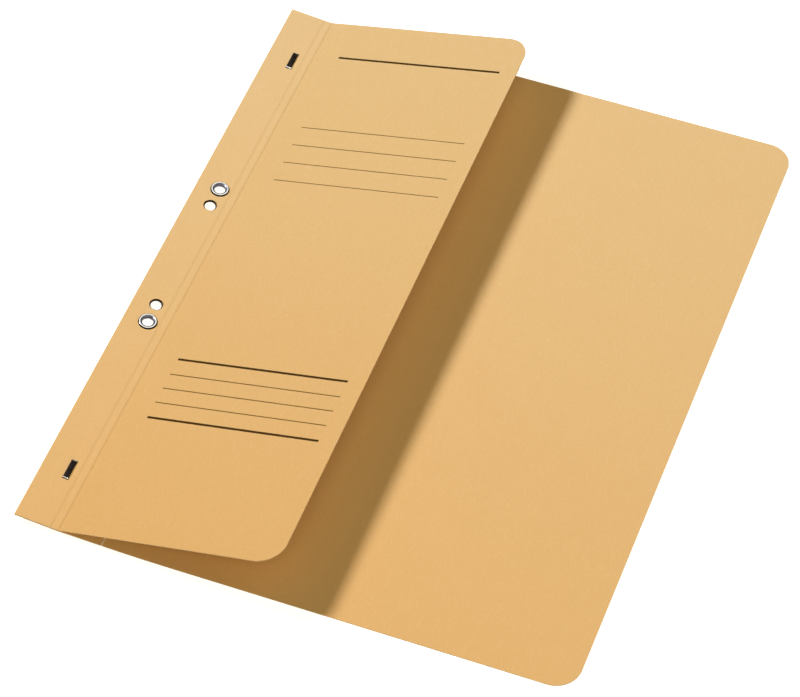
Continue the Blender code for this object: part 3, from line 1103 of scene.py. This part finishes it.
@dataclass
class BentStrip:
    """A strip of flat stock bent along a line."""

    name: str
    corners: Sequence[Point]  # of its line, along the strip and upwards
    bend: float  # radius of its bends
    thickness: float
    width: float
    run: Run
    edge: float  # rounding of its edges
    bend_steps: int = 6  # facets in a bend
    straight: float = 1e-3  # how little a corner turns, in radians, where it has no bend
    merge: float = 0.001  # distance below which vertices merge
    smooth_angle: float = 40.0

    def line(self) -> list[Vector]:
        """Round the corners of the line.

        Returns:
            The line's points.
        """
        points = [Vector(corner) for corner in self.corners]
        line = [points[0]]
        for before, corner, after in zip(points, points[1:], points[2:]):
            into, out = (before - corner).normalized(), (after - corner).normalized()
            turn = math.pi - into.angle(out)
            if turn < self.straight:
                line.append(corner)
                continue
            middle = corner + (into + out).normalized() * (self.bend / math.cos(turn / 2))
            first = corner + into * (self.bend * math.tan(turn / 2)) - middle
            way = 1 if into.x * out.y - into.y * out.x < 0 else -1
            for step in range(self.bend_steps + 1):
                swing = way * turn * step / self.bend_steps
                line.append(middle + Vector((first.x * math.cos(swing) - first.y * math.sin(swing),
                                             first.x * math.sin(swing) + first.y * math.cos(swing))))
        line.append(points[-1])
        return line

    def build(self, line: Sequence[Vector] = (),
              taper: Callable[[Vector], float] | None = None) -> Piece:
        """Bend the strip, give it its thickness and round its edges.

        Args:
            line: the whole line, where it isn't only the rounded corners.
            taper: the strip's width at a point of its line, where it isn't the same all along.

        Returns:
            The finished strip, in its own frame.
        """
        line = line or self.line()
        count = len(line) - 1
        clear_selection()
        bpy.ops.mesh.primitive_grid_add(x_subdivisions=count, y_subdivisions=2, size=1)
        piece = named(self.name)
        for vertex in piece.data.vertices:
            point = line[round((vertex.co.x + 0.5) * count)]
            side = vertex.co.y * (taper(point) if taper else self.width)
            vertex.co = (point.x, side, point.y) if self.run is Run.ACROSS_PAGE else (-side, point.x, point.y)
        tidy_mesh(piece, self.merge)
        modify(piece, "SOLIDIFY", thickness=self.thickness, offset=0.0, use_even_offset=True)
        round_edges(piece, self.edge)
        smooth(piece, self.smooth_angle)
        return piece


@dataclass
class WireStitches:
    """Two stitches of flat wire that hold the two layers of the strip together."""

    wire_width: float = 2.45
    wire_thickness: float = 0.5
    wire_edge: float = 0.1  # rounding of its edges
    crown_level: float = 0.97  # over the middle of the under layer
    clinch_level: float = -0.47  # of the clinched ends
    clinch_length: float = 3.4
    bend: float = 0.5  # radius of the bends
    rubbed: Triple = (0.66, 0.25, 0.3)  # a normal that takes the painted highlight: least up and along, most across

    def build(self) -> None:
        """Bend one stitch, dress it, copy it and set both in the strip."""
        leg = FOLDER.leg_reach
        half = [(self.clinch_length - leg, self.clinch_level), (-leg, self.clinch_level), (-leg, self.crown_level)]
        corners = half + [(-x, z) for x, z in reversed(half)]
        stitch = BentStrip("wire_stitch_upper", corners, self.bend, self.wire_thickness, self.wire_width,
                           Run.UP_PAGE, self.wire_edge).build()
        stitch.data.materials.append(BLACK_WIRE.material("black_flat_wire"))
        stitch.data.materials.append(HIGHLIGHT_WIRE.material("rubbed_wire"))
        up, along, across = self.rubbed
        # Bend faces that face up and along the page take the painted highlight
        for polygon in stitch.data.polygons:
            way = polygon.normal
            polygon.material_index = int(way.z > up and abs(way.y) > along and abs(way.x) < across)
        set_in_strip(stitch, "stitch", FOLDER.stitch)


@dataclass
class ProngFastener:
    """The tin fastener on the margin: a strip with two prongs, a slotted bar and two locking sleeves."""

    tin: float = 0.25  # thickness of the tinplate
    gap: float = 0.25  # room between two pieces
    under_gap: float = 0.3  # room between the card and the base strip
    prong_length: float = 26.0  # over the card
    prong_width: float = 4.5
    prong_bend: float = 0.4  # radius of its bends
    nose_steps: int = 5  # facets in half a prong's round tip
    nose_turn: float = 16.0  # angle of such a facet
    base_width: float = 8.0  # of the base strip
    shoulder: float = 1.2  # length over which it widens
    bar_width: float = 7.0
    bar_overhang: float = 13.0  # past a prong
    bar_steps: int = 12  # facets in a corner of its round ends
    bar_flat: float = 0.01  # left straight between two such corners, on each side
    bar_merge: float = 0.05  # distance below which vertices of its outline merge
    slot_room: float = 0.6  # how much larger its slots are than a prong
    sleeve_length: float = 10.0
    sleeve_hold: float = 6.0  # length over the prong
    sleeve_lip: float = 1.9  # width of its lips
    edge: float = 0.06  # rounding of the edges
    smooth_angle: float = 40.0
    touch: float = 1e-4  # how near a point counts as being on a line

    @property
    def levels(self) -> tuple[float, float, float, float, float]:
        """Stack the pieces up from the middle of the card.

        Returns:
            The heights of the base, the sleeves' lips, the bar, the prongs and the sleeves' roofs.
        """
        base = -FOLDER.card / 2 - self.under_gap - self.tin / 2
        lip = FOLDER.card / 2 + self.gap + self.tin / 2
        step = self.tin + self.gap
        return base, lip, lip + step, lip + 2 * step, lip + 3 * step

    def build(self) -> None:
        """Make the fastener's four pieces and set them on the margin."""
        tin = TINPLATE.material("rolled_tinplate")
        place = tilted(joint_point("back_fold"), FOLDER.margin_tilt) @ Matrix.Translation(
            (FOLDER.prong[0] - FOLDER.back_score, 0, 0))
        sleeves = both_ends(self.sleeve("locking_sleeve_upper"))
        centre = FOLDER.prong[1] - self.prong_length + self.sleeve_hold - self.sleeve_length / 2
        for end, sleeve in sleeves.items():
            sleeve.data.transform(Matrix.Translation((0, end.value * centre, 0)))
        for piece, node, body in ((self.prongs(), "fastener_base", Body.MARGIN),
                                  (self.bar(), "cover_bar", Body.MARGIN),
                                  (sleeves[End.UPPER], "slider_upper", Body.SLIDER_UPPER),
                                  (sleeves[End.LOWER], "slider_lower", Body.SLIDER_LOWER)):
            piece.data.materials.append(tin)
            set_piece(piece, node, body, place)

    def prongs(self) -> Piece:
        """The base strip, with both ends bent up through the card and over the bar.

        Returns:
            The strip, in the fastener's frame.
        """
        base, _, _, prong, _ = self.levels
        reach, nose = FOLDER.prong[1], self.prong_width / 2
        full = reach - self.prong_length + nose
        neck = reach - self.prong_bend - self.shoulder
        wide = neck - self.shoulder
        corners = [(full, prong), (reach, prong), (reach, base), (neck, base), (wide, base)]
        bent = BentStrip("prong_strip", corners, self.prong_bend, self.tin, self.prong_width, Run.UP_PAGE,
                         self.edge)
        turns = [math.radians(self.nose_turn * step) for step in range(self.nose_steps, 0, -1)]
        half = [Vector((full - nose * math.sin(turn), prong)) for turn in turns] + bent.line()

        def width(point: Vector) -> float:
            """Make the strip round at its tips and wide under the card.

            Args:
                point: a point of its line.

            Returns:
                Its width there.
            """
            if abs(point.y - base) < self.touch and abs(point.x) < wide + self.touch:
                return self.base_width
            short = (full - abs(point.x)) / nose
            if abs(point.y - prong) < self.touch and short > 0:
                return self.prong_width * math.sqrt(max(0.0, 1 - short ** 2))
            return self.prong_width

        return bent.build(half + [Vector((-point.x, point.y)) for point in reversed(half)], width)

    def bar(self) -> Piece:
        """The slotted bar that presses on the sheets, with round ends.

        Returns:
            The bar, in the fastener's frame.
        """
        reach = FOLDER.prong[1]
        clear_selection()
        bpy.ops.mesh.primitive_plane_add(size=1, location=(0, 0, self.levels[2]))
        piece = named("pressing_bar", (self.bar_width, 2 * (reach + self.bar_overhang), 1))
        edit(piece, Element.VERTEX)
        bpy.ops.mesh.bevel(offset_type="OFFSET", offset=self.bar_width / 2 - self.bar_flat, segments=self.bar_steps,
                           affect="VERTICES")
        tidy_mesh(piece, self.bar_merge)
        modify(piece, "SOLIDIFY", thickness=self.tin, offset=0.0)
        slot = (self.prong_width + self.slot_room, self.tin + self.slot_room)
        punch(piece, [PUNCHING.slot_tool(0, end.value * reach, slot) for end in End])
        round_edges(piece, self.edge)
        smooth(piece, self.smooth_angle)
        return piece

    def sleeve(self, name: str) -> Piece:
        """A sleeve bent round the bar and the prong, open along its underside.

        Args:
            name: the piece's name.

        Returns:
            The sleeve, in the fastener's frame at mid-height.
        """
        _, lip, _, _, roof = self.levels
        wall = self.bar_width / 2 + self.gap + self.tin / 2
        inner = wall - self.sleeve_lip
        corners = [(-inner, lip), (-wall, lip), (-wall, roof), (wall, roof), (wall, lip), (inner, lip)]
        return BentStrip(name, corners, self.tin, self.tin, self.sleeve_length, Run.ACROSS_PAGE, self.edge).build()


# Studio

@dataclass(frozen=True)
class Lamp:
    """A soft lamp, distant or near."""

    kind: LampKind
    azimuth: float  # round the table, from +X
    elevation: float  # above the table
    strength: float
    size: float  # angular
    tint: str
    cone: float = 0.0  # angle of its cone, where it has one
    lean: float = 0.0  # turned from the folder towards the head of the page
    reach: float = 700.0  # a near lamp's distance from the free edge of the front cover
    aim: Triple = (-4.0, 0.0, 25.0)  # the middle of that edge
    evenness: float = 0.75  # how a near lamp's light grows with distance: 0 constant, 1 even on a level sheet

    def hang(self, name: str) -> None:
        """Hang the lamp and turn it.

        Args:
            name: the lamp's name.
        """
        data = bpy.data.lights.new(name, self.kind.value)
        data.color = linear(self.tint)[:3]
        around, above, lean = (math.radians(angle) for angle in (self.azimuth, self.elevation, self.lean))
        towards = Vector((math.cos(above) * math.cos(around), math.cos(above) * math.sin(around), math.sin(above)))
        place = (Vector(self.aim) + towards * self.reach) * METRES
        if self.kind is LampKind.DISTANT:
            data.energy, data.angle = self.strength, math.radians(self.size)
        else:
            # A near lamp spreads the shadow past both ends of the sheet, and is evened out as by a graded screen
            near = self.reach * METRES
            data.energy = self.strength * 4 * math.pi
            data.shadow_soft_size = near * math.tan(math.radians(self.size / 2))
            data.use_nodes = True
            tree = data.node_tree
            steady = add_node(tree, "LightFalloff", {"Strength": near ** -self.evenness}, "Constant")
            far = add_node(tree, "LightPath", output="Ray Length")
            grown = add_node(tree, "Math", (far, self.evenness), operation="POWER")
            strength = add_node(tree, "Math", (steady, grown), operation="MULTIPLY")
            tree.links.new(strength, tree.nodes["Emission"].inputs["Strength"])
        if self.kind is LampKind.NEAR_CONE:
            data.spot_size, data.spot_blend = math.radians(self.cone), 1.0
        lamp = bpy.data.objects.new(name, data)
        lamp.visible_camera = False
        bpy.context.scene.collection.objects.link(lamp)
        facing = towards * math.cos(lean) - Vector((0, math.sin(lean), 0))
        lamp.matrix_world = Matrix.Translation(place) @ facing.to_track_quat("Z", "Y").to_matrix().to_4x4()


@dataclass
class Studio:
    """A white table, soft lamps from the left, warm soft fills from the right and the front, and the camera."""

    lens: float = 159.458  # focal length
    sensor: float = 36.0  # width
    sight: float = 50.0  # in metres
    eye: Triple = (323.254, -899.975, 1150.577)  # the camera's place
    right: Triple = (0.9370176, 0.3492763, 0.0020245)  # the camera's own axes
    up: Triple = (-0.2711136, 0.7236486, 0.6346890)
    back: Triple = (0.2202168, -0.5952636, 0.7727650)  # from the picture towards the camera
    # The lamp that casts the shadow, a cool one beside it that fades from the head of the page to the foot, and two
    # fills, from the free edge and from the camera's side
    lamps: dict[str, Lamp] = field(default_factory=lambda: {
        "key_lamp": Lamp(LampKind.NEAR, 180.0, 48.5, 2.608, 9.0, "#FFF6F1"),
        "head_wash_lamp": Lamp(LampKind.NEAR_CONE, 180.0, 48.5, 1.90, 9.0, "#44ACFF", 114.0, 40.0),
        "side_fill_lamp": Lamp(LampKind.DISTANT, 0.0, 45.0, 0.565, 70.0, "#FFF8D1"),
        "front_fill_lamp": Lamp(LampKind.DISTANT, -70.0, 48.0, 0.81, 30.0, "#FFF8D1")})
    ambient: float = 0.03  # light from all round
    table_half: float = 3000.0  # half its width
    table_gap: float = 0.05  # under the folder
    table_white: str = "#F4F4F4"
    table_lift: float = 0.76  # towards white, where it is seen

    def build(self) -> None:
        """Set the camera, the lamps, the surroundings and the table."""
        scene = bpy.context.scene
        scene.view_settings.view_transform = "Standard"
        self.camera(scene)
        for name, lamp in self.lamps.items():
            lamp.hang(name)
        self.surroundings(scene)
        self.table()
        LOG.info("set the studio")

    def camera(self, scene: bpy.types.Scene) -> None:
        """Set the camera where the photograph was taken from.

        Args:
            scene: the scene that takes it.
        """
        data = bpy.data.cameras.new("camera")
        data.sensor_fit, data.sensor_width, data.lens = "HORIZONTAL", self.sensor, self.lens
        data.clip_end = self.sight
        camera = bpy.data.objects.new("camera", data)
        scene.collection.objects.link(camera)
        axes = Matrix((self.right, self.up, self.back)).transposed().to_4x4()
        camera.matrix_world = Matrix.Translation(Vector(self.eye) * METRES) @ axes
        scene.camera = camera

    def seen(self, tree: bpy.types.NodeTree) -> bpy.types.NodeSocket:
        """Tell the rays that show the background, to the eye, in metal and through glass, from those that light.

        Args:
            tree: the node tree of the background.

        Returns:
            A socket that is 1 on the rays that show it and 0 on the others.
        """
        rays = add_node(tree, "LightPath").node.outputs
        mirrored = add_node(tree, "Math", (rays["Is Camera Ray"], rays["Is Glossy Ray"]), operation="MAXIMUM")
        return add_node(tree, "Math", (mirrored, rays["Is Transmission Ray"]), operation="MAXIMUM")

    def surroundings(self, scene: bpy.types.Scene) -> None:
        """White where they are seen, and a little light on everything else.

        Args:
            scene: the scene that takes them.
        """
        world = bpy.data.worlds.new("white_studio")
        world.use_nodes = True
        tree = world.node_tree
        tree.nodes.clear()
        strength = add_node(tree, "MapRange", (self.seen(tree), 0.0, 1.0, self.ambient, 1.0))
        light = add_node(tree, "Background", {"Color": WHITE, "Strength": strength})
        add_node(tree, "OutputWorld", {"Surface": light})
        scene.world = world

    def table(self) -> None:
        """Lay the white table, which keeps the folder's shadow."""
        width = 2 * self.table_half * METRES
        clear_selection()
        bpy.ops.mesh.primitive_plane_add(size=1, location=(0, 0, -self.table_gap * METRES))
        table = named("white_table", (width, width, 1))
        # White melamine laminate: an even matt white, lifted where it is seen to stay white round the folder
        material, tree = new_material("white_table_laminate")
        white = add_node(tree, "BsdfDiffuse", {"Color": linear(self.table_white)})
        strength = add_node(tree, "Math", (self.seen(tree), self.table_lift), operation="MULTIPLY")
        glow = add_node(tree, "Emission", {"Color": WHITE, "Strength": strength})
        both = add_node(tree, "AddShader", (white, glow))
        add_node(tree, "OutputMaterial", {"Surface": both})
        table.data.materials.append(material)


def main() -> None:
    """Build the folder's pieces and the studio."""
    logging.basicConfig(level=logging.INFO, format="%(name)s: %(message)s")
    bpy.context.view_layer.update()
    for assembly in (Studio, BackSheet, FrontSheet, WritingRules, Eyelets, WireStitches, ProngFastener):
        assembly().build()
    clear_selection()


if __name__ == "__main__":
    main()
